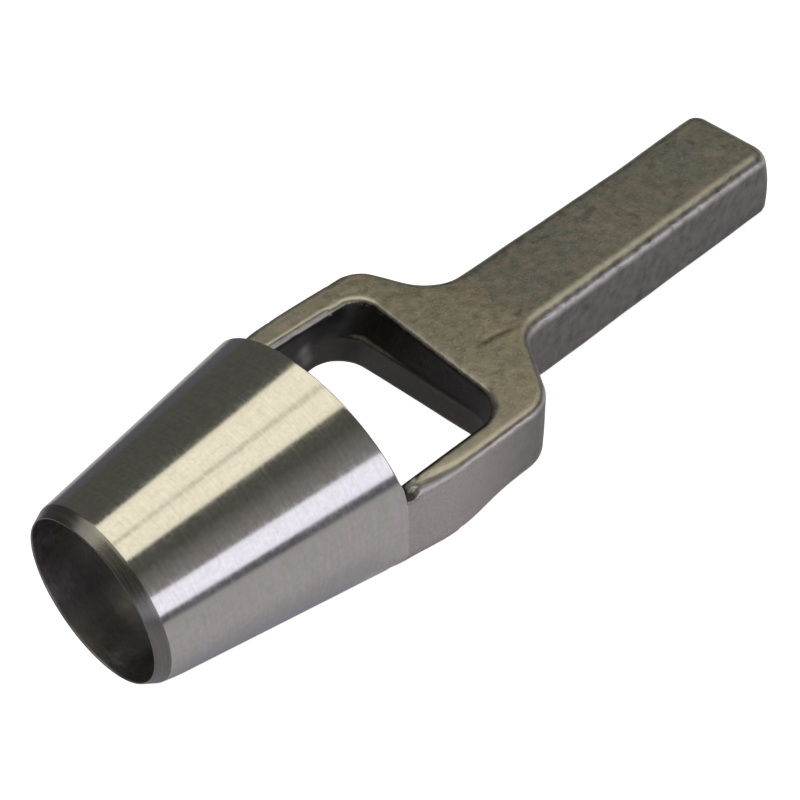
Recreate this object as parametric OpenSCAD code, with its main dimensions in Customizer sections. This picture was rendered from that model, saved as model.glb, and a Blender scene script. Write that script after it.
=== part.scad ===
// Drive hole punch: a ground steel cutting tube carried by a forged arch and shank.
// The tool lies along X: the cutting edge is at x = 0 and the struck end at x = overall_len.
// Y runs across the two arms (the left arm is at +Y) and Z is normal to the arch.

/* [Cutting edge] */
// Diameter of the hole that the edge cuts
hole_d = 25.4; // [24:0.1:26.4]
// Width of the flat left on the cutting edge
edge_flat = 0.15; // [0.1:0.05:0.3]
// Outside diameter where the sharpened bevel meets the cone
bevel_d = 27.6; // [27.2:0.1:29]
// Length of the sharpened bevel
bevel_len = 1.8; // [1:0.1:3]
// Length of the parallel land behind the cutting edge
land_len = 6; // [4:0.5:10]

/* [Cutting tube] */
// Length from the cutting edge to the rear rim, at the arms
tube_len = 39; // [37:0.5:42]
// Outside diameter of the cone at the arms
rim_d = 40.5; // [40:0.1:42]
// Inside diameter at the rear rim, where the relief taper ends
relief_d = 36.6; // [35:0.1:37]
// Lean of the rear rim above the arms, in degrees
top_draft = 9.4; // [0:0.1:12]
// Lean of the rear rim below the arms, in degrees
bottom_draft = 3; // [0:0.1:12]

/* [Arch] */
// Width across the two arms
arch_w = 43.9; // [43:0.1:46]
// Distance from the cutting edge to where the arms reach that width
full_width_x = 47; // [44:0.5:50]
// Thickness of the arch
arch_t = 11.6; // [10:0.1:13]
// Gap between the two arms
window_w = 37; // [36:0.1:38]
// Distance from the cutting edge to the end wall of the window
window_end = 63; // [60:0.5:64]
// Radius of the window's left corner
window_left_r = 5; // [3:0.5:8]
// Radius of the window's right corner
window_right_r = 7.5; // [3:0.5:10]

/* [Shoulders] */
// Where the left shoulder starts to round in
left_start = 66.4; // [64:0.1:68]
// Radius of the left shoulder
left_r = 5.5; // [4:0.1:8]
// Slope of the left shoulder, in degrees
left_slope = 70; // [50:1:75]
// Where the right shoulder starts to round in
right_start = 63; // [62:0.1:68]
// Radius of the right shoulder
right_r = 8.4; // [4:0.1:10]
// Slope of the right shoulder, in degrees
right_slope = 53; // [45:1:75]
// Radius of the hollow between each shoulder and the shank
hollow_r = 7; // [4:0.1:9]

/* [Shank] */
// Length of the whole tool
overall_len = 145; // [130:0.5:155]
// Width of the shank at the arch
shank_w = 17.8; // [16:0.1:19]
// Width of the shank at the struck end
struck_w = 17.4; // [16:0.1:19]
// Thickness of the shank at the struck end
struck_t = 13.2; // [11:0.1:14]
// Sideways set of the struck end from the tool's axis
struck_set = 0.7; // [0:0.1:1]
// Radius of the struck end's corners, seen from above
struck_r = 3; // [1:0.5:5]
// Height of the flat band in the middle of the struck end
struck_flat = 6; // [4:0.5:10]
// How far the struck end falls back above and below that band
struck_crown = 1.2; // [0.5:0.1:2]
// Width of the break along the shank's long edges
edge_break = 1.3; // [0.5:0.1:2]

/* [Weld runs] */
// Radius of the weld bead and of the groove that it fills
weld_r = 1.1; // [0.8:0.1:1.2]
// Distance of each bead's centre from the tool's axis
weld_y = 18.1; // [17.8:0.1:18.3]
// Length of each bead
weld_len = 10.6; // [8:0.1:11]

/* [Hidden] */
$fn = 96;
arc_steps = 10;                  // straight steps in each round stretch of an outline
left = 1;
right = -1;
clear = 1;                       // how far cutters run past the faces that they cut
hole_r = hole_d / 2;
bevel_r = bevel_d / 2;
rim_r = rim_d / 2;
relief_r = relief_d / 2;
half_w = arch_w / 2;
half_t = arch_t / 2;
half_shank = shank_w / 2;
half_struck = struck_w / 2;

ground_steel = [0.66, 0.65, 0.61];
forged_steel = [0.37, 0.36, 0.31];
weld_steel = [0.30, 0.29, 0.28];

// Turns a profile drawn as (place along the tool, radius) about the X axis
module turned() {
    rotate([90, 0, 90]) rotate_extrude() rotate(90) mirror([0, 1]) children();
}

// Wall of the tube: bevelled edge, outer cone, rear rim, relief taper and land
module tube_profile() {
    polygon([
        [0, hole_r],
        [0, hole_r + edge_flat],
        [bevel_len, bevel_r],
        [tube_len, rim_r],
        [tube_len, relief_r],
        [land_len, hole_r]
    ]);
}

// Wedge that slopes the rear rim above the arms, starting level with their top faces
module rim_wedge(draft) {
    height = rim_r + clear - half_t;
    rotate([90, 0, 0]) linear_extrude(2 * (rim_r + clear), center = true) polygon([
        [tube_len, half_t],
        [tube_len + clear, half_t],
        [tube_len + clear, half_t + height],
        [tube_len - height * tan(draft), half_t + height]
    ]);
}

// Groove across an arm's joint with the tube; side is left or right
module weld_groove(side) {
    translate([tube_len, side * weld_y, 0]) cylinder(h = arch_t, r = weld_r, center = true);
}

module weld_bead(side) {
    translate([tube_len, side * weld_y, 0]) cylinder(h = weld_len, r = weld_r, center = true);
}

// Points on a round stretch of an outline
function arc(centre, r, from, to) = [
    for (i = [0 : arc_steps])
        let (angle = from + (to - from) * i / arc_steps)
        centre + r * [cos(angle), sin(angle)]
];

// Where the hollow between a shoulder and the shank ends
function hollow_end(start, r, slope) =
    let (drop = half_w - half_shank - (r + hollow_r) * (1 - cos(slope)))
    start + (r + hollow_r) * sin(slope) + drop / tan(slope);

// One side of the arch seen from above, drawn at +Y: arm, round shoulder, slope and hollow
function arch_side(start, r, slope) = concat(
    [[tube_len, rim_r], [full_width_x, half_w]],
    arc([start, half_w - r], r, 90, 90 - slope),
    arc([hollow_end(start, r, slope), half_shank + hollow_r], hollow_r, 270 - slope, 270)
);

// The same points on the other side, in the opposite order
function mirrored(points) = [
    for (i = [len(points) - 1 : -1 : 0]) [points[i].x, -points[i].y]
];

// Corner of the struck end; side is left or right
function struck_corner(side) = [
    overall_len - struck_r,
    struck_set + side * (half_struck - struck_r)
];

// Far corner of the window; side is left or right
function window_corner(side, r) = [window_end - r, side * (window_w / 2 - r)];

// Arch and shank seen from above
module forging_outline() {
    difference() {
        polygon(concat(
            arch_side(left_start, left_r, left_slope),
            arc(struck_corner(left), struck_r, 90, 0),
            arc(struck_corner(right), struck_r, 0, -90),
            mirrored(arch_side(right_start, right_r, right_slope))
        ));
        polygon(concat(
            [[tube_len - clear, window_w / 2]],
            arc(window_corner(left, window_left_r), window_left_r, 90, 0),
            arc(window_corner(right, window_right_r), window_right_r, 0, -90),
            [[tube_len - clear, -window_w / 2]]
        ));
    }
}

// Arch and shank seen from the side: the shank thickens towards the struck end
module forging_side() {
    taper_start = hollow_end(left_start, left_r, left_slope);
    polygon([
        [tube_len, half_t],
        [taper_start, half_t],
        [overall_len - struck_crown, struck_t / 2],
        [overall_len, struck_flat / 2],
        [overall_len, -struck_flat / 2],
        [overall_len - struck_crown, -struck_t / 2],
        [taper_start, -half_t],
        [tube_len, -half_t]
    ]);
}

// Square bars set on edge along the shank's four long edges, which break them
module edge_cutters() {
    start = hollow_end(left_start, left_r, left_slope) - clear;
    bar = edge_break * sqrt(2);
    span = overall_len - start;
    rise = atan((struck_t / 2 - half_t) / span);
    for (side = [left, right], face = [1, -1]) {
        drift = atan((half_struck + side * struck_set - half_shank) / span);
        translate([start, side * half_shank, face * half_t])
            rotate([0, -face * rise, side * drift])
            rotate([45, 0, 0])
            translate([0, -bar / 2, -bar / 2]) cube([span + 2 * clear, bar, bar]);
    }
}

module cutting_tube() {
    color(ground_steel) difference() {
        turned() tube_profile();
        rim_wedge(top_draft);
        mirror([0, 0, 1]) rim_wedge(bottom_draft);
        weld_groove(left);
        weld_groove(right);
    }
}

module yoke() {
    color(forged_steel) difference() {
        intersection() {
            linear_extrude(2 * arch_t, center = true) forging_outline();
            rotate([90, 0, 0]) linear_extrude(2 * arch_w, center = true) forging_side();
        }
        edge_cutters();
        weld_groove(left);
        weld_groove(right);
    }
}

module weld_seam_left() {
    color(weld_steel) weld_bead(left);
}

module weld_seam_right() {
    color(weld_steel) weld_bead(right);
}

cutting_tube();
yoke();
weld_seam_left();
weld_seam_right();
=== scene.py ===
"""Drive hole punch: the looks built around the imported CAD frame.

The tool lies along X with its cutting edge at x = 0 and the left arm at +Y. All working
sizes are in millimetres and become metres when a mesh is made.
"""

import math

import bpy
import numpy as np
from mathutils import Matrix, Vector


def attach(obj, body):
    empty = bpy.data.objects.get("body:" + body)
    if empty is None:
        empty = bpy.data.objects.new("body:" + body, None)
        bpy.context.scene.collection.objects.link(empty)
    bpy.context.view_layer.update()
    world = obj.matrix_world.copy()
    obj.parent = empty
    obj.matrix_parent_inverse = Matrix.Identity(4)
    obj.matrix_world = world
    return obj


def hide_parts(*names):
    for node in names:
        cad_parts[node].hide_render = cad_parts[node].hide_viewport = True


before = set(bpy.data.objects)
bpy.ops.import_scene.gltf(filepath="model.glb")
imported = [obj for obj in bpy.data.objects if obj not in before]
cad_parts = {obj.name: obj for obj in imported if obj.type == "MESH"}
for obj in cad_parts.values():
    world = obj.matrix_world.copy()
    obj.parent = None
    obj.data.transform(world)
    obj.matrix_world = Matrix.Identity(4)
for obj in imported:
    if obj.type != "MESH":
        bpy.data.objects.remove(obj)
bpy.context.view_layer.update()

MM = 0.001

# Driving sizes of the tool. They follow the CAD model, apart from the struck end's width
# and set, which were measured again for the visual model.
HOLE_R = 12.7
EDGE_FLAT = 0.15
BEVEL_R = 13.8
BEVEL_LEN = 1.8
LAND_LEN = 6.0
TUBE_LEN = 39.0
RIM_R = 20.25
RELIEF_R = 18.3
TOP_DRAFT = math.radians(9.4)
BOTTOM_DRAFT = math.radians(3.0)
HALF_W = 21.95
FULL_WIDTH_X = 47.0
HALF_T = 5.8
OVERALL_LEN = 145.0
HALF_SHANK = 8.9
HALF_STRUCK = 9.0
STRUCK_T = 6.6
STRUCK_SET = 0.4
STRUCK_R = 3.0
HOLLOW_R = 7.0
LEFT_SHOULDER = dict(start=66.4, r=5.5, slope=math.radians(70))
RIGHT_SHOULDER = dict(start=63.0, r=8.4, slope=math.radians(53))
WELD_R = 1.1
WELD_Y = 18.1
WELD_LEN = 10.6

GROOVE_HALF = WELD_LEN / 2 - 0.4
CONE_SLOPE = (RIM_R - BEVEL_R) / (TUBE_LEN - BEVEL_LEN)


# ---------------------------------------------------------------- small helpers

def lerp(a, b, t):
    return a + (b - a) * t


def smooth(low, high, x):
    """0 below low, 1 above high, with a smooth rise between."""
    t = np.clip((x - low) / (high - low), 0.0, 1.0)
    return t * t * (3 - 2 * t)


def bump_curve(x, centre, width):
    return np.exp(-((x - centre) / width) ** 2)


def lattice_noise(points, cell, seed, size=64):
    """Smooth noise from -1 to 1 at the points, with features about cell millimetres across."""
    table = np.random.default_rng(seed).uniform(-1, 1, (size, size, size))
    q = points / cell + 0.37 * size
    base = np.floor(q).astype(int)
    t = q - base
    t = t * t * (3 - 2 * t)
    total = np.zeros(len(points))
    for i in (0, 1):
        for j in (0, 1):
            for k in (0, 1):
                weight = (np.where(i, t[:, 0], 1 - t[:, 0])
                          * np.where(j, t[:, 1], 1 - t[:, 1])
                          * np.where(k, t[:, 2], 1 - t[:, 2]))
                corner = (base + (i, j, k)) % size
                total += weight * table[corner[:, 0], corner[:, 1], corner[:, 2]]
    return total


def add_piece(name, points, faces, materials, face_material=None, marks=None):
    """A smooth-shaded mesh object from points in millimetres, riding on the tool's body."""
    mesh = bpy.data.meshes.new(name)
    mesh.from_pydata((np.asarray(points) * MM).tolist(), [], faces)
    for material in materials:
        mesh.materials.append(material)
    mesh.polygons.foreach_set("use_smooth", [True] * len(mesh.polygons))
    if face_material is not None:
        mesh.polygons.foreach_set("material_index", np.asarray(face_material, np.int32))
    for key, values in (marks or {}).items():
        attribute = mesh.attributes.new(key, "FLOAT", "POINT")
        attribute.data.foreach_set("value", np.asarray(values, np.float32))
    mesh.update()
    piece = bpy.data.objects.new(name, mesh)
    bpy.context.scene.collection.objects.link(piece)
    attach(piece, "root")
    return piece


# ---------------------------------------------------------------- outlines seen from above

def arc(centre, r, start, end, steps=28):
    """Points on an arc from one angle to another, in degrees."""
    angles = np.radians(np.linspace(start, end, steps))
    return [(centre[0] + r * math.cos(a), centre[1] + r * math.sin(a)) for a in angles]


def shoulder_side(start, r, slope):
    """Arm, round shoulder, slope and hollow of one side, drawn at +Y."""
    drop = HALF_W - HALF_SHANK - (r + HOLLOW_R) * (1 - math.cos(slope))
    hollow_x = start + (r + HOLLOW_R) * math.sin(slope) + drop / math.tan(slope)
    degrees = math.degrees(slope)
    flare = [(x, arm_y(x)) for x in np.linspace(TUBE_LEN - 3, FULL_WIDTH_X + 2, 16)]
    return (flare
            + arc((start, HALF_W - r), r, 90, 90 - degrees)
            + arc((hollow_x, HALF_SHANK + HOLLOW_R), HOLLOW_R, 270 - degrees, 270))


def arm_y(x):
    """Outer face of an arm: leaves the cone with its slope and eases into the full width."""
    reach = FULL_WIDTH_X + 2 - TUBE_LEN
    t = np.clip((x - TUBE_LEN) / reach, 0, 1)
    rise = HALF_W - RIM_R
    slope = CONE_SLOPE * reach
    eased = slope * t + (3 * rise - 2 * slope) * t ** 2 + (slope - 2 * rise) * t ** 3
    return RIM_R + np.where(x < TUBE_LEN, (x - TUBE_LEN) * CONE_SLOPE, eased)


def outer_outline():
    left = shoulder_side(**LEFT_SHOULDER)
    right = [(x, -y) for x, y in reversed(shoulder_side(**RIGHT_SHOULDER))]
    past = OVERALL_LEN + 2 * STRUCK_R
    struck = [(past, STRUCK_SET + HALF_STRUCK), (past, STRUCK_SET - HALF_STRUCK)]
    return left + struck + right


def window_outline(left_y, right_y, end, slant, left_r, right_r):
    """The window; slant is how far its right end lies nearer the mouth than its left end."""
    front = TUBE_LEN - 8
    left = arc((end - left_r, left_y - left_r), left_r, 90, 0)
    right = arc((end - slant - right_r, right_r - right_y), right_r, 0, -90)
    return [(front, left_y)] + left + right + [(front, -right_y)]


def outline_distance(outline, x, y):
    """Signed distance to a closed outline, negative inside."""
    nearest = np.full(x.shape, np.inf)
    inside = np.zeros(x.shape, bool)
    points = np.asarray(outline)
    for (ax, ay), (bx, by) in zip(points, np.roll(points, -1, axis=0)):
        ex, ey = bx - ax, by - ay
        if ex * ex + ey * ey < 1e-12:
            continue
        t = np.clip(((x - ax) * ex + (y - ay) * ey) / (ex * ex + ey * ey), 0, 1)
        nearest = np.minimum(nearest, (x - ax - t * ex) ** 2 + (y - ay - t * ey) ** 2)
        if ay != by:
            crosses = ((ay > y) != (by > y)) & (x < ax + (y - ay) / (by - ay) * ex)
            inside ^= crosses
    return np.where(inside, -1.0, 1.0) * np.sqrt(nearest)


# ---------------------------------------------------------------- yoke: arms, arch and shank

PITCH = 0.36
YOKE_LOW = np.array([37.6, -23.2, -10.4])
YOKE_HIGH = np.array([147.2, 23.2, 7.9])
ARM_START = TUBE_LEN - 0.12
FLANK_DRAFT = 0.018
WINDOW_EDGE_R = 1.15
PARTING_Z = -0.6
PARTING_RIDGE = 0.16
TOP_INSET = 0.1           # how far the top face lies inside the CAD's
JOINT_SWELL = 3.9         # how much deeper the arms are below where they meet the tube
SWELL_SPAN = (37, 61)     # the stretch over which that fades out
SHANK_DROP = 0.95         # how much deeper the shank is below, next to the arch
SHANK_LIFT = 0.2          # how much of that it loses again towards the struck end
THICKENING = (74, 160)    # the curve on which the shank thickens; it is cut off at the end
END_TURN = 0.4            # how far the end face runs out on the left and in on the right
END_LEAN = 0.16           # how far it runs out for each millimetre below the middle
END_TWIST = 0.62          # the share by which that lean is more on the right than the left
END_CROWN = 0.9           # how far its middle stands out
END_FLARE = 0.5           # how far the left side spreads at the struck end
EDGE_R_TOP = 1.45
EDGE_R_LOW = 1.1
# Left wall, right wall, end, slant of the end, left and right corner radius
WINDOW_TOP = (16.1, 17.9, 65.6, 3.2, 3.6, 6.0)
WINDOW_LOW = (18.3, 17.9, 62.8, 0.0, 6.0, 8.0)


class Plan:
    """Distances to the outlines on a fine grid in plan, read back by interpolation."""

    def __init__(self, step=0.2):
        self.step = step
        self.low = YOKE_LOW[:2] - 1
        counts = np.ceil((YOKE_HIGH[:2] + 1 - self.low) / step).astype(int) + 1
        x = self.low[0] + step * np.arange(counts[0])
        y = self.low[1] + step * np.arange(counts[1])
        gx, gy = np.meshgrid(x, y, indexing="ij")
        self.outer = outline_distance(outer_outline(), gx, gy)
        self.window_top = outline_distance(window_outline(*WINDOW_TOP), gx, gy)
        self.window_low = outline_distance(window_outline(*WINDOW_LOW), gx, gy)

    def read(self, grid, x, y):
        u = np.clip((x - self.low[0]) / self.step, 0, grid.shape[0] - 1.001)
        v = np.clip((y - self.low[1]) / self.step, 0, grid.shape[1] - 1.001)
        i, j = u.astype(int), v.astype(int)
        u, v = u - i, v - j
        return (grid[i, j] * (1 - u) * (1 - v) + grid[i + 1, j] * u * (1 - v)
                + grid[i, j + 1] * (1 - u) * v + grid[i + 1, j + 1] * u * v)


def round_corner(a, b, r):
    """The corner of two half-spaces, rounded to radius r."""
    inner = np.minimum(np.maximum(a, b) + r, 0)
    return inner + np.hypot(np.maximum(a + r, 0), np.maximum(b + r, 0)) - r


def half_thickness(x, z):
    """Half the forging's thickness; the arms swell below where they meet the tube."""
    growth = smooth(*THICKENING, x) / smooth(*THICKENING, OVERALL_LEN)
    above = HALF_T - TOP_INSET + (STRUCK_T - HALF_T + TOP_INSET) * growth
    below = (HALF_T + JOINT_SWELL * (1 - smooth(*SWELL_SPAN, x))
             + SHANK_DROP * smooth(64, 84, x) - SHANK_LIFT * smooth(84, 120, x))
    return np.where(z > 0, above, below)


def struck_x(y, z):
    """Where the hammered end face lies: it leans out below, most on the right, and is crowned."""
    across = (y - STRUCK_SET) / HALF_STRUCK
    lean = END_TURN * across - END_LEAN * z * (1 - END_TWIST * across)
    return OVERALL_LEN + lean + END_CROWN * (1 - (z / STRUCK_T) ** 2)


def yoke_parts(plan, x, y, z):
    """The yoke's field and the part of it that each face of the forging gives."""
    height = np.abs(z) - half_thickness(x, z)
    share = np.interp(z, (-HALF_T, PARTING_Z, HALF_T - 1), (0, 0.15, 1))
    flare = END_FLARE * smooth(120, 142, x) * (y > 0)
    flank = plan.read(plan.outer, x, y) + FLANK_DRAFT * np.abs(z) - flare
    window = lerp(plan.read(plan.window_low, x, y), plan.read(plan.window_top, x, y), share)
    wall = -window - PARTING_RIDGE * bump_curve(z, PARTING_Z, 0.5)
    joint = 1 - smooth(TUBE_LEN, 53, x)
    flank_r = np.where(z > 0, EDGE_R_TOP + 1.1 * joint + 0.95 * smooth(72, 82, x),
                       EDGE_R_LOW + 2.4 * joint)
    end = x - struck_x(y, z)
    corner = round_corner(flank, end, np.where(y < STRUCK_SET, STRUCK_R + 1.2, STRUCK_R))
    outside = round_corner(corner, height, flank_r)
    window_side = round_corner(wall, height, np.where(z > 0, WINDOW_EDGE_R, 0.5))
    filed = smooth(4, 12, y) * (1 - smooth(59, 63, x)) * (z > 0)
    left_bevel = 0.82 * wall + 0.57 * height + lerp(-1.5, 0.8, filed)
    front = ARM_START - x
    groove = np.minimum(WELD_R - np.hypot(x - TUBE_LEN, np.abs(y) - WELD_Y),
                        GROOVE_HALF - np.abs(z))
    field = np.maximum(np.maximum(outside, window_side), np.maximum(front, groove))
    field = np.maximum(field, left_bevel)
    return field, dict(flank=flank, wall=wall)


def net_surface(low, high, pitch, field):
    """Quads through every grid cell that the surface crosses, one vertex to a cell."""
    counts = np.ceil((high - low) / pitch).astype(int) + 1
    axes = [low[k] + pitch * np.arange(counts[k]) for k in range(3)]
    x, y, z = np.meshgrid(*axes, indexing="ij")
    value = field(x, y, z)
    solid = value < 0
    cells = tuple(c - 1 for c in counts)
    total = np.zeros(cells + (3,))
    hits = np.zeros(cells, int)
    offsets = [(i, j, k) for i in (0, 1) for j in (0, 1) for k in (0, 1)]
    part = lambda a, o: a[o[0]:o[0] + cells[0], o[1]:o[1] + cells[1], o[2]:o[2] + cells[2]]
    for o in offsets:
        for axis in range(3):
            if o[axis]:
                continue
            p = tuple(1 if k == axis else o[k] for k in range(3))
            va, vb = part(value, o), part(value, p)
            crossed = part(solid, o) != part(solid, p)
            t = np.where(crossed, va / np.where(crossed, va - vb, 1), 0)
            for k in range(3):
                total[..., k] += crossed * (o[k] + (t if k == axis else 0))
            hits += crossed
    used = hits > 0
    index = np.full(cells, -1)
    index[used] = np.arange(used.sum())
    place = np.argwhere(used) + total[used] / hits[used][:, None]
    points = low + pitch * place
    faces = []
    for axis in range(3):
        b, c = (axis + 1) % 3, (axis + 2) % 3
        first = [slice(None)] * 3
        second = [slice(None)] * 3
        first[axis], second[axis] = slice(0, -1), slice(1, None)
        changes = solid[tuple(first)] != solid[tuple(second)]
        where = np.argwhere(changes)
        where = where[(where[:, b] > 0) & (where[:, c] > 0)
                      & (where[:, b] < counts[b] - 1) & (where[:, c] < counts[c] - 1)]
        leaving = solid[tuple(first)][where[:, 0], where[:, 1], where[:, 2]]
        step_b, step_c = np.eye(3, dtype=int)[b], np.eye(3, dtype=int)[c]
        ring = [where - step_b - step_c, where - step_c, where, where - step_b]
        quad = np.stack([index[r[:, 0], r[:, 1], r[:, 2]] for r in ring], axis=1)
        faces.append(np.where(leaving[:, None], quad, quad[:, ::-1]))
    return points, np.concatenate(faces)


def settle(points, field, rounds=2, step=0.05):
    """Moves the points along the field's slope on to its surface; gives the slopes too."""
    slope = np.zeros_like(points)
    for _ in range(rounds):
        here = field(*points.T)
        for k in range(3):
            ahead = points.copy()
            behind = points.copy()
            ahead[:, k] += step
            behind[:, k] -= step
            slope[:, k] = (field(*ahead.T) - field(*behind.T)) / (2 * step)
        size = np.maximum((slope ** 2).sum(1), 0.25)
        move = np.clip(here / size, -0.15, 0.15)
        points = points - move[:, None] * slope
    return points, slope / np.sqrt(np.maximum((slope ** 2).sum(1), 1e-9))[:, None]


# Paths of the small marks: a crease at the right arm's tip, a lump on the left arm's inner
# wall, and a forging lap on the top face (from x, y to x, y)
HOOK = ((39.3, -18.3, 5.6), (39.1, -19.2, 5.1), (39.2, -19.8, 4.5), (39.9, -20.0, 4.3),
        (40.7, -19.7, 4.7))
LUMP = ((55.2, 17.0, -0.6), (56.0, 17.2, -3.0))
LAP = (67.6, -6.0, 77.0, -7.5)
HOOK_WIDTH, HOOK_DEPTH = 0.42, 0.6
# Width of the painted shade along the crease at the right arm's tip.
HOOK_SHADE_WIDTH = 0.72
LUMP_WIDTH, LUMP_HEIGHT = 1.1, 0.3
LAP_DEPTH = 0.15
PIT_DEPTH = 0.07


def near_path(points, path, width):
    """1 on the path and fading to 0 within about two widths of it."""
    nearest = np.full(len(points), np.inf)
    for a, b in zip(path, path[1:]):
        a, step = np.array(a), np.subtract(b, a)
        t = np.clip((points - a) @ step / (step @ step), 0, 1)
        nearest = np.minimum(nearest, ((points - a - t[:, None] * step) ** 2).sum(1))
    return np.exp(-nearest / width ** 2)


def crease_depth(x, y, z):
    """A shallow forging lap on the top face between the window and the crotch."""
    ax, ay, bx, by = LAP
    ex, ey = bx - ax, by - ay
    t = np.clip(((x - ax) * ex + (y - ay) * ey) / (ex * ex + ey * ey), 0, 1)
    away = np.hypot(x - ax - t * ex, y - ay - t * ey - 0.5 * np.sin(3.0 * t))
    return np.exp(-(away / 0.45) ** 2) * np.sin(math.pi * np.clip(t, 0.03, 0.97)) * (z > 4)


def build_yoke(materials):
    """The forging's mesh, its skin, and the marks that its material reads."""
    plan = Plan()
    field = lambda x, y, z: yoke_parts(plan, x, y, z)[0]
    points, faces = net_surface(YOKE_LOW, YOKE_HIGH, PITCH, field)
    points, normal = settle(points, field)
    _, parts = yoke_parts(plan, *points.T)
    x, y, z = points.T
    loose = smooth(40, 46, x)
    swell = 0.06 * lattice_noise(points, 9.0, 3) + 0.02 * lattice_noise(points, 3.6, 4)
    grain = 0.012 * lattice_noise(points, 1.1, 5)
    pits = -PIT_DEPTH * smooth(0.62, 0.9, lattice_noise(points, 1.5, 6))
    dents = -PIT_DEPTH * smooth(0.6, 0.95, lattice_noise(points, 3.0, 7))
    lap = -LAP_DEPTH * crease_depth(x, y, z)
    hook = near_path(points, HOOK, HOOK_WIDTH)
    # Painted shade along the crease at the right arm's tip.
    hook_shade = np.minimum(1.5 * near_path(points, HOOK[:4], HOOK_SHADE_WIDTH), 1)
    lump = near_path(points, LUMP, LUMP_WIDTH)
    upright = np.abs(normal[:, 2])
    inner = smooth(-1.0, 1.0, parts["wall"] - parts["flank"])
    ground = 1 - smooth(44, 72, x)
    rough_skin = 1 - 0.75 * ground * (1 - inner) * (1 - smooth(0.15, 0.5, upright))
    pits, dents = pits * rough_skin, dents * rough_skin
    skin = loose * (swell + grain + pits + dents + lap)
    points = points + (skin - HOOK_DEPTH * hook + LUMP_HEIGHT * lump)[:, None] * normal
    turning = smooth(0.05, 0.9, 2 * upright * np.sqrt(np.maximum(1 - upright ** 2, 0)))
    side = 1 - lerp(smooth(0.15, 0.5, upright), smooth(0.42, 0.55, upright), inner)
    # Painted shade along the rounded inner edge of the right arm, near the tube.
    shade = inner * smooth(0.01, 0.05, 1 - upright) * smooth(8, 14, -y) * (1 - smooth(57, 62, x))
    marks = {
        # Edge wear on the rounded edges and the lump, lightened as a painted highlight; kept off
        # the painted shade of the right arm's inner edge and the crease.
        "edge_wear_and_highlight": np.maximum(turning * lerp(1, (1 - side) * smooth(2.5, 4, z), inner), lump)
                * (1 - shade) * (1 - hook_shade),
        # The side half of the outer edges past the joint, painted brighter: wear and painted
        # highlight together.
        "rubbed_and_highlight": (turning * (1 - inner) * (1 - smooth(0.55, 0.85, upright))
                   * smooth(43, 60, x)),
        # Painted shade on the window's walls, slightly less low down, and on the right arm's inner
        # edge; the lump is left out.
        "wall": np.maximum(side * inner * (1 - lump) * lerp(0.85, 1, smooth(-2, 1, z)), shade),
        "flank": side * (1 - inner),
        "shank": smooth(70, 84, x),
        # Painted shade in the pits, dents, lap and the crease at the right arm's tip, darker where
        # they are deeper.
        "dents": np.clip(-(pits + dents + lap) / 0.24 + hook_shade, 0, 1),
        "ground": ground,
    }
    return add_piece("forged_yoke", points, faces.tolist(), materials, marks=marks)


# ---------------------------------------------------------------- cutting tube

def cone_r(x):
    """Radius of the plain cone."""
    return BEVEL_R + (x - BEVEL_LEN) * CONE_SLOPE


def belly(x, angle):
    """The cone is a little fuller low on its right side, most at the mouth."""
    toward = np.maximum(-0.78 * np.cos(angle) - 0.62 * np.sin(angle), 0)
    return 0.36 * smooth(-1, 5, x) * (1 - x / 48) * toward ** 2


def rim_x(z):
    """Rear rim: level at the arms, leaning back towards the mouth above and below them."""
    above = np.maximum(z - HALF_T, 0) * math.tan(TOP_DRAFT)
    below = np.maximum(-z - HALF_T, 0) * math.tan(BOTTOM_DRAFT)
    return TUBE_LEN - above - below


def tube_outer(x, angle):
    """Outer radius: the cone, drawn out to the flat sides of the arms next to the joint."""
    r = cone_r(x) + belly(x, angle)
    z = r * np.sin(angle)
    flat = (arm_y(x) + 0.02) / np.maximum(np.abs(np.cos(angle)), 0.2)
    above = 1 - smooth(1.5, HALF_T - 0.6, z)
    below = 1 - smooth(HALF_T - 0.3, 2 * HALF_T - 1.6, -z)
    band = np.where(z > 0, above, below)
    return r + np.maximum(flat - r, 0) * band * smooth(31, TUBE_LEN, x)


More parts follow.
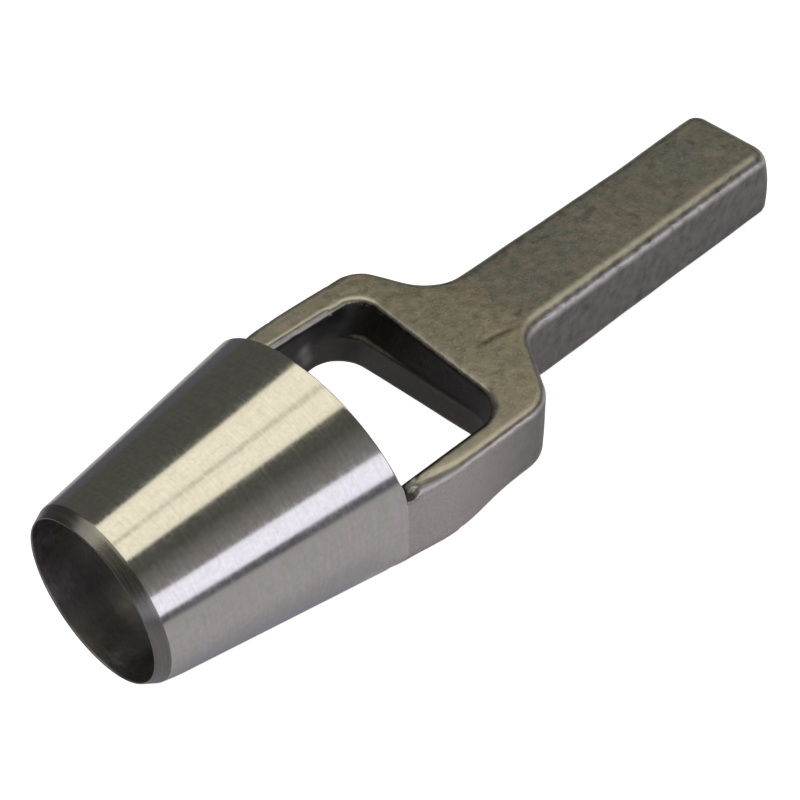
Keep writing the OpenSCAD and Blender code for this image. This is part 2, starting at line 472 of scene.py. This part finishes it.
def build_tube(materials):
    around = 400
    angle = np.linspace(0, 2 * math.pi, around, endpoint=False)
    sine = np.sin(angle)
    near_arm = 1 - smooth(HALF_T, HALF_T + 1.5, np.abs(RIM_R * sine))
    rim_round = 0.3 - 0.27 * near_arm
    columns = []

    def column(x, r, material):
        x = np.broadcast_to(np.asarray(x, float), angle.shape)
        r = np.broadcast_to(np.asarray(r, float), angle.shape)
        columns.append((np.stack([x, r * np.cos(angle), r * sine], axis=1), material))

    column(0.0, HOLE_R + 0.02, 1)
    column(0.0, HOLE_R + EDGE_FLAT, 1)
    for t in (0.04, 0.35, 0.7, 0.96):
        column(BEVEL_LEN * t, lerp(HOLE_R + EDGE_FLAT, BEVEL_R + belly(BEVEL_LEN, angle), t), 1)
    last = rim_x(RIM_R * sine) - rim_round
    for t in 1 - (1 - np.linspace(0, 1, 64)) ** 1.7:
        x = lerp(BEVEL_LEN * 1.03, last, t)
        column(x, tube_outer(x, angle), 0)
    outer = tube_outer(last + rim_round, angle)
    for turn in np.radians((30, 60, 90)):
        column(last + rim_round * np.sin(turn), outer - rim_round * (1 - np.cos(turn)), 0)
    for t in np.linspace(0.12, 0.95, 12):
        r = lerp(outer - rim_round, RELIEF_R, t)
        y, z = r * np.cos(angle), r * sine
        groove = np.sqrt(np.maximum(WELD_R ** 2 - (np.abs(y) - WELD_Y) ** 2, 0))
        column(rim_x(z) - groove * (np.abs(z) < GROOVE_HALF), r, 1)
    inner_last = rim_x(RELIEF_R * sine) - 0.2
    for t in np.linspace(0, 1, 26):
        x = lerp(inner_last, LAND_LEN, t)
        column(x, lerp(RELIEF_R - 0.05, HOLE_R, t), 2)
    for t in (0.3, 0.65, 0.95):
        column(lerp(LAND_LEN, 0.0, t), HOLE_R, 2)

    points = np.concatenate([c[0] for c in columns])
    count = len(columns)
    i, j = np.meshgrid(np.arange(count), np.arange(around), indexing="ij")
    nxt, turn = (i + 1) % count, (j + 1) % around
    faces = np.stack([i * around + j, i * around + turn, nxt * around + turn, nxt * around + j],
                     axis=-1).reshape(-1, 4)
    slots = np.repeat([c[1] for c in columns], around)
    return add_piece("cutting_tube_ground", points, faces.tolist(), materials, face_material=slots)


# ---------------------------------------------------------------- weld runs

def build_weld(name, side, material):
    """A run of lapped ripples along the joint, thicker towards the window."""
    around, along = 40, 72
    t = np.linspace(0, 1, along)
    angle = np.linspace(0, 2 * math.pi, around, endpoint=False)
    tt, aa = np.meshgrid(t, angle, indexing="ij")
    z = (tt - 0.5) * WELD_LEN
    cap = np.sqrt(np.clip(1 - (np.abs(tt - 0.5) * 2) ** 10, 0.0, 1))
    ripple = 0.05 * np.abs(np.sin(tt * 7.5 * math.pi + 0.5 * np.cos(aa)))
    r = (WELD_R - 0.02 + ripple) * np.maximum(cap, 0.02)
    inward = -side * np.sin(aa)
    r = r + 0.16 * np.maximum(inward, 0) * cap
    points = np.stack([TUBE_LEN + r * np.cos(aa), side * WELD_Y + r * np.sin(aa), z], axis=-1)
    points = points.reshape(-1, 3)
    wave = 0.06 * lattice_noise(points, 1.4, 11 + side)
    away = points - [TUBE_LEN, side * WELD_Y, 0]
    away[:, 2] = 0
    points = points + away * wave[:, None]
    i, j = np.meshgrid(np.arange(along - 1), np.arange(around), indexing="ij")
    turn = (j + 1) % around
    faces = np.stack([i * around + j, i * around + turn, (i + 1) * around + turn,
                      (i + 1) * around + j], axis=-1).reshape(-1, 4)[:, ::-1].tolist()
    faces.append(list(range(around)))
    faces.append(list(range((along - 1) * around, along * around))[::-1])
    return add_piece(name, points, faces, [material])


# ---------------------------------------------------------------- materials

class Tree:
    """Short calls for building a node tree."""

    def __init__(self, tree):
        self.tree = tree

    def add(self, kind, inputs=None, **settings):
        node = self.tree.nodes.new(kind)
        for key, value in settings.items():
            setattr(node, key, value)
        for key, value in (inputs or {}).items():
            self.put(node.inputs[key], value)
        return node

    def put(self, socket, value):
        if isinstance(value, bpy.types.NodeSocket):
            self.tree.links.new(value, socket)
        else:
            socket.default_value = value

    def maths(self, operation, a, b=0.0):
        return self.add("ShaderNodeMath", {0: a, 1: b}, operation=operation).outputs[0]

    def mix_colour(self, share, a, b, mode="MIX"):
        inputs = {0: share, 6: a, 7: b}
        return self.add("ShaderNodeMix", inputs, data_type="RGBA", blend_type=mode).outputs[2]

    def mix_shader(self, share, a, b):
        return self.add("ShaderNodeMixShader", {0: share, 1: a, 2: b}).outputs[0]

    def add_shaders(self, a, b):
        return self.add("ShaderNodeAddShader", {0: a, 1: b}).outputs[0]

    def glow(self, colour, strength):
        inputs = {"Color": colour, "Strength": strength}
        return self.add("ShaderNodeEmission", inputs).outputs[0]

    def matt(self, colour):
        return self.add("ShaderNodeBsdfDiffuse", {"Color": colour}).outputs[0]

    def camera_ray(self):
        return self.add("ShaderNodeLightPath").outputs["Is Camera Ray"]

    def along(self, space, axis):
        """One coordinate of the object's own or the generated space."""
        coord = self.add("ShaderNodeTexCoord").outputs[space]
        return self.add("ShaderNodeSeparateXYZ", {0: coord}).outputs[axis]


class Nodes(Tree):
    """The node tree of one of the tool's materials."""

    def __init__(self, name):
        self.material = bpy.data.materials.new(name)
        self.material.use_nodes = True
        super().__init__(self.material.node_tree)
        self.shader = self.tree.nodes["Principled BSDF"]

    def times(self, a, b):
        return self.maths("MULTIPLY", a, b)

    def sum_of(self, a, a_share, b, b_share):
        return self.maths("ADD", self.times(a, a_share), self.times(b, b_share))

    def less(self, a, b, b_share):
        return self.maths("SUBTRACT", a, self.times(b, b_share))

    def vector(self, x, y, z):
        return self.add("ShaderNodeCombineXYZ", {"X": x, "Y": y, "Z": z}).outputs[0]

    def place(self, scale=(1, 1, 1)):
        """Object coordinates in millimetres, stretched."""
        coord = self.add("ShaderNodeTexCoord").outputs["Object"]
        size = tuple(1000 * s for s in scale)
        return self.add("ShaderNodeMapping", {"Vector": coord, "Scale": size}).outputs[0]

    def noise(self, vector, scale, detail=3.0, roughness=0.5, distortion=0.0):
        return self.add("ShaderNodeTexNoise", {
            "Vector": vector, "Scale": scale, "Detail": detail,
            "Roughness": roughness, "Distortion": distortion}).outputs["Fac"]

    def spread(self, value, low, high, to_low=0.0, to_high=1.0):
        return self.add("ShaderNodeMapRange", {
            "Value": value, "From Min": low, "From Max": high,
            "To Min": to_low, "To Max": to_high}, clamp=True).outputs[0]

    def mark(self, name):
        return self.add("ShaderNodeAttribute", attribute_name=name).outputs["Fac"]

    def bump(self, height, strength, distance):
        inputs = {"Height": height, "Strength": strength, "Distance": distance}
        return self.add("ShaderNodeBump", inputs).outputs[0]

    def finish(self, colour, roughness, normal):
        self.put(self.shader.inputs["Base Color"], colour)
        self.put(self.shader.inputs["Roughness"], roughness)
        self.put(self.shader.inputs["Normal"], normal)
        self.shader.inputs["Metallic"].default_value = 1.0
        return self.material


def grey(r, g, b):
    return (r, g, b, 1.0)


def axis_place(n):
    """The object's own coordinates in metres, one socket to each axis."""
    coord = n.add("ShaderNodeTexCoord").outputs["Object"]
    return n.add("ShaderNodeSeparateXYZ", {"Vector": coord}).outputs


def ground_steel_material():
    """Ground steel: fine lines round the cone over a soft mottle."""
    n = Nodes("ground_steel_looks")
    x, y, z = axis_place(n)
    angle = n.maths("ARCTAN2", z, y)
    lines = n.vector(n.times(x, 2600.0), n.times(n.maths("COSINE", angle), 2.2),
                     n.times(n.maths("SINE", angle), 2.2))
    streaks = n.noise(lines, 1.0, 4.0, 0.65)
    mottle = n.noise(n.place(), 1.35, 4.0, 0.6)
    cloud = n.noise(n.place((0.5, 1, 1)), 0.16, 3.0, 0.5)
    mixed = n.sum_of(streaks, 0.45, mottle, 0.55)
    share = n.spread(mixed, 0.36, 0.64)
    colour = n.mix_colour(share, grey(0.53, 0.52, 0.51), grey(0.64, 0.63, 0.62))
    clouded = n.maths("ADD", mixed, n.times(cloud, 0.4))
    roughness = n.spread(clouded, 0.5, 0.9, 0.09, 0.17)
    height = n.sum_of(streaks, 0.6, mottle, 0.4)
    return n.finish(colour, roughness, n.bump(height, 0.07, 0.00004))


def edge_steel_material():
    """The bevel and the rear rim: darker, with coarser scratches."""
    n = Nodes("edge_steel_looks")
    x, y, z = axis_place(n)
    lines = n.vector(n.times(x, 5200.0), n.times(y, 120.0), n.times(z, 120.0))
    streaks = n.noise(lines, 1.0, 3.0, 0.6)
    share = n.spread(streaks, 0.35, 0.65)
    colour = n.mix_colour(share, grey(0.19, 0.185, 0.18), grey(0.25, 0.24, 0.24))
    roughness = n.spread(streaks, 0.3, 0.7, 0.22, 0.32)
    return n.finish(colour, roughness, n.bump(streaks, 0.12, 0.00005))


def bore_material():
    """The inside of the tube: dark grey, blotched with a darker grey."""
    n = Nodes("bore_looks")
    smudge = n.noise(n.place((0.3, 1, 1)), 0.16, 2.0, 0.5, 0.3)
    fine = n.noise(n.place((3, 1, 1)), 0.9, 3.0)
    share = n.spread(smudge, 0.4, 0.72)
    colour = n.mix_colour(share, grey(0.36, 0.35, 0.36), grey(0.17, 0.165, 0.17))
    return n.finish(colour, n.spread(fine, 0.3, 0.7, 0.34, 0.5), n.bump(fine, 0.3, 0.00008))


def forged_material():
    """Forging scale: olive on the flat faces, grey on the flanks; painted shade near black on the
    window's walls and dark in the pits and creases; worn edges lightened as painted highlights.
    """
    n = Nodes("forged_steel_looks")
    place = n.place()
    broad = n.noise(place, 0.11, 4.0, 0.55, 0.4)
    mottle = n.noise(place, 0.55, 5.0, 0.62)
    fine = n.noise(place, 2.4, 4.0, 0.6)
    specks = n.noise(place, 1.3, 2.0, 0.5)
    edge_wear_and_highlight, rubbed_and_highlight, wall, flank, shank, dents, ground = (
        n.mark(m) for m in ("edge_wear_and_highlight", "rubbed_and_highlight", "wall", "flank", "shank", "dents", "ground"))

    share = n.spread(broad, 0.38, 0.64)
    olive = n.mix_colour(share, grey(0.38, 0.37, 0.31), grey(0.48, 0.41, 0.345))
    darker = n.mix_colour(0.7, olive, grey(0.24, 0.23, 0.195))
    olive = n.mix_colour(n.spread(mottle, 0.35, 0.68), darker, olive)
    share = n.spread(fine, 0.54, 0.68, 0.0, 0.45)
    olive = n.mix_colour(share, olive, grey(0.64, 0.61, 0.52))
    share = n.spread(specks, 0.66, 0.74, 0.0, 0.55)
    olive = n.mix_colour(share, olive, grey(0.16, 0.15, 0.13))
    olive = n.mix_colour(shank, olive, grey(0.70, 0.74, 0.82), "MULTIPLY")
    olive = n.mix_colour(n.times(ground, 0.4), olive, grey(0.58, 0.57, 0.55))

    share = n.spread(mottle, 0.35, 0.65)
    side = n.mix_colour(share, grey(0.158, 0.153, 0.153), grey(0.27, 0.26, 0.256))
    share = n.spread(broad, 0.50, 0.66, 0.0, 0.4)
    side = n.mix_colour(share, side, grey(0.24, 0.225, 0.195))
    share = n.spread(fine, 0.35, 0.65)
    near_tube = n.mix_colour(share, grey(0.47, 0.45, 0.44), grey(0.54, 0.52, 0.515))
    side = n.mix_colour(ground, side, near_tube)

    colour = n.mix_colour(flank, olive, side)
    # Painted shade: the window's walls and the rounded inner edge of the right arm go near black.
    colour = n.mix_colour(n.times(wall, 0.93), colour, grey(0.04, 0.04, 0.042))
    # Bare metal on the rounded edges: real edge wear, lightened further as a painted highlight,
    # brightest on the side half of the outer edges.
    bare_and_highlight = n.times(edge_wear_and_highlight, n.spread(mottle, 0.3, 0.6, 0.35, 0.85))
    worn_metal_and_highlight = n.mix_colour(rubbed_and_highlight, grey(0.46, 0.445, 0.42), grey(0.72, 0.70, 0.69))
    colour = n.mix_colour(bare_and_highlight, colour, worn_metal_and_highlight)
    # Painted shade: pits, dents, the lap and the crease at the right arm's tip go dark.
    colour = n.mix_colour(n.times(dents, 0.92), colour, grey(0.05, 0.045, 0.042))

    rough = n.spread(n.sum_of(mottle, 0.6, fine, 0.4), 0.35, 0.65, 0.42, 0.58)
    rough = n.less(rough, edge_wear_and_highlight, 0.14)
    rough = n.less(rough, rubbed_and_highlight, 0.03)
    rough = n.less(rough, n.times(ground, flank), 0.2)
    height = n.sum_of(fine, 0.45, mottle, 0.9)
    return n.finish(colour, rough, n.bump(height, 0.35, 0.00022))


def weld_material():
    """Oxidised weld metal."""
    n = Nodes("weld_looks")
    mottle = n.noise(n.place(), 1.6, 4.0, 0.6)
    share = n.spread(mottle, 0.35, 0.65)
    colour = n.mix_colour(share, grey(0.05, 0.048, 0.045), grey(0.12, 0.115, 0.11))
    roughness = n.spread(mottle, 0.3, 0.7, 0.45, 0.6)
    return n.finish(colour, roughness, n.bump(mottle, 0.4, 0.0002))


# ---------------------------------------------------------------- the tool

tube_looks = [ground_steel_material(), edge_steel_material(), bore_material()]
tube = build_tube(tube_looks)
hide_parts("cutting_tube")

yoke = build_yoke([forged_material()])
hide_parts("yoke")

weld_looks = weld_material()
for side, node in ((1, "weld_seam_left"), (-1, "weld_seam_right")):
    weld = build_weld(node.replace("seam", "run"), side, weld_looks)
    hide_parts(node)


# ---------------------------------------------------------------- floor, light and camera

# Where the tool touches the floor, as (x, z)
REST_RIM = (38.0, -20.1)
REST_END = (144.0, -6.6)


# Half-width in metres of the lit strip of floor that the tool reflects, where it fades
# out, and how far the strip's middle lies to the right of the tool
STRIP_FADE = (0.105, 0.145)
STRIP_SHIFT = 0.04
FLOOR_REACH = 1500.0


def floor_material():
    """Plain and pale to the camera; a lit strip between dim sides to every other ray.

    It shows from above only, so views from below aren't blocked.
    """
    material = bpy.data.materials.new("floor_looks")
    material.use_nodes = True
    material.node_tree.nodes.clear()
    n = Tree(material.node_tree)
    plain = n.add_shaders(n.glow(grey(1, 1, 1), 0.95), n.matt(grey(0.45, 0.45, 0.45)))
    lit = n.add_shaders(n.matt(grey(0.68, 0.67, 0.74)), n.glow(grey(0.80, 0.80, 1.0), 0.15))
    dim = n.glow(grey(0.12, 0.12, 0.13), 1.0)
    away = n.maths("ABSOLUTE", n.maths("ADD", n.along("Object", "Y"), STRIP_SHIFT))
    past = n.add("ShaderNodeMapRange", {
        "Value": away, "From Min": STRIP_FADE[0], "From Max": STRIP_FADE[1]}).outputs[0]
    seen = n.mix_shader(n.camera_ray(), n.mix_shader(past, lit, dim), plain)
    clear = n.add("ShaderNodeBsdfTransparent").outputs[0]
    below = n.add("ShaderNodeNewGeometry").outputs["Backfacing"]
    n.add("ShaderNodeOutputMaterial", {"Surface": n.mix_shader(below, seen, clear)})
    return material


def make_floor():
    """A pale floor that the rear rim and the struck end rest on."""
    slope = (REST_END[1] - REST_RIM[1]) / (REST_END[0] - REST_RIM[0])
    height = lambda x: REST_RIM[1] + slope * (x - REST_RIM[0]) - 0.1
    signs = ((-1, -1), (1, -1), (1, 1), (-1, 1))
    corners = [(i * FLOOR_REACH, j * FLOOR_REACH, height(i * FLOOR_REACH)) for i, j in signs]
    mesh = bpy.data.meshes.new("floor")
    mesh.from_pydata([[c * MM for c in p] for p in corners], [], [(0, 1, 2, 3)])
    floor = bpy.data.objects.new("floor", mesh)
    bpy.context.scene.collection.objects.link(floor)
    mesh.materials.append(floor_material())
    return floor


def add_panel(name, centre, size, radiance, colour, aim):
    """A soft rectangular panel facing aim; radiance is its brightness."""
    data = bpy.data.lights.new(name, "AREA")
    data.shape = "RECTANGLE"
    data.size, data.size_y = size
    data.energy = radiance * math.pi * size[0] * size[1]
    data.color = colour
    panel = bpy.data.objects.new(name, data)
    panel.location = centre
    direction = Vector(aim) - Vector(centre)
    panel.rotation_mode = "QUATERNION"
    panel.rotation_quaternion = direction.to_track_quat("-Z", "Y")
    panel.visible_camera = False
    bpy.context.scene.collection.objects.link(panel)
    return panel


def make_world():
    """White to the camera; a dark room, paler on the tool's right, to every other ray."""
    world = bpy.data.worlds.new("studio")
    bpy.context.scene.world = world
    world.use_nodes = True
    n = Tree(world.node_tree)
    across = n.add("ShaderNodeMapRange", {
        "Value": n.along("Generated", "Y"), "From Min": -0.65, "From Max": -0.9,
        "To Min": 0.0, "To Max": 1.0}).outputs[0]
    room = n.mix_colour(across, grey(0.105, 0.105, 0.088), grey(0.30, 0.28, 0.27))
    colour = n.mix_colour(n.camera_ray(), room, grey(1.0, 1.0, 1.0))
    n.put(world.node_tree.nodes["Background"].inputs["Color"], colour)


def make_camera(azimuth, elevation, roll, distance, target, lens):
    """A camera at these angles in degrees, with distance and target in millimetres."""
    a, e, t = (math.radians(v) for v in (azimuth, elevation, roll))
    back = Vector((math.sin(a) * math.cos(e), -math.cos(a) * math.cos(e), math.sin(e)))
    right = Vector((math.cos(a), math.sin(a), 0))
    up = back.cross(right)
    turned_right = right * math.cos(t) + up * math.sin(t)
    turned_up = up * math.cos(t) - right * math.sin(t)
    place = Vector(target) * MM + back * distance * MM
    data = bpy.data.cameras.new("camera")
    data.sensor_width = 36
    data.lens = lens
    data.clip_start, data.clip_end = 0.01, 10
    camera = bpy.data.objects.new("camera", data)
    rotation = Matrix((turned_right, turned_up, back)).transposed().to_4x4()
    camera.matrix_world = Matrix.Translation(place) @ rotation
    bpy.context.scene.collection.objects.link(camera)
    bpy.context.scene.camera = camera


make_floor()
make_world()

# Overhead panels in a row across the tool: name, right edge, left edge and brightness. The
# edges are in shares of the panels' height above the tool.
OVERHEAD = 0.8
WARM = (1.0, 0.935, 0.72)
for name, low, high, radiance in (("panel_above_right", -0.46, -0.08, 1.25),
                                  ("panel_above_middle", -0.085, 0.0, 0.8),
                                  ("panel_above_left", -0.005, 0.49, 1.25)):
    middle = (0.42 * OVERHEAD, (low + high) / 2 * OVERHEAD)
    add_panel(name, (*middle, OVERHEAD), (1.85 * OVERHEAD, (high - low) * OVERHEAD),
              radiance, WARM, aim=(*middle, 0))
add_panel("panel_back_left", (-0.5 * OVERHEAD, 0.6 * OVERHEAD, OVERHEAD),
          (0.7 * OVERHEAD, 0.6 * OVERHEAD), 1.0, (1.0, 0.95, 0.80), aim=(0, 0, 0))

# One low panel on the right, which gives the violet stripe on the cone
SIDE_AWAY = 0.9
add_panel("panel_right", (0.35 * SIDE_AWAY, -SIDE_AWAY, 0.17 * SIDE_AWAY),
          (1.95 * SIDE_AWAY, 0.42 * SIDE_AWAY), 1.25, (0.88, 0.87, 1.0),
          aim=(0.35 * SIDE_AWAY, 0, 0.17 * SIDE_AWAY))

make_camera(azimuth=-45.6619, elevation=41.3515, roll=-0.6242, distance=239.25,
            target=(56.672, -1.576, 0), lens=72)
bpy.context.scene.view_settings.view_transform = "Standard"
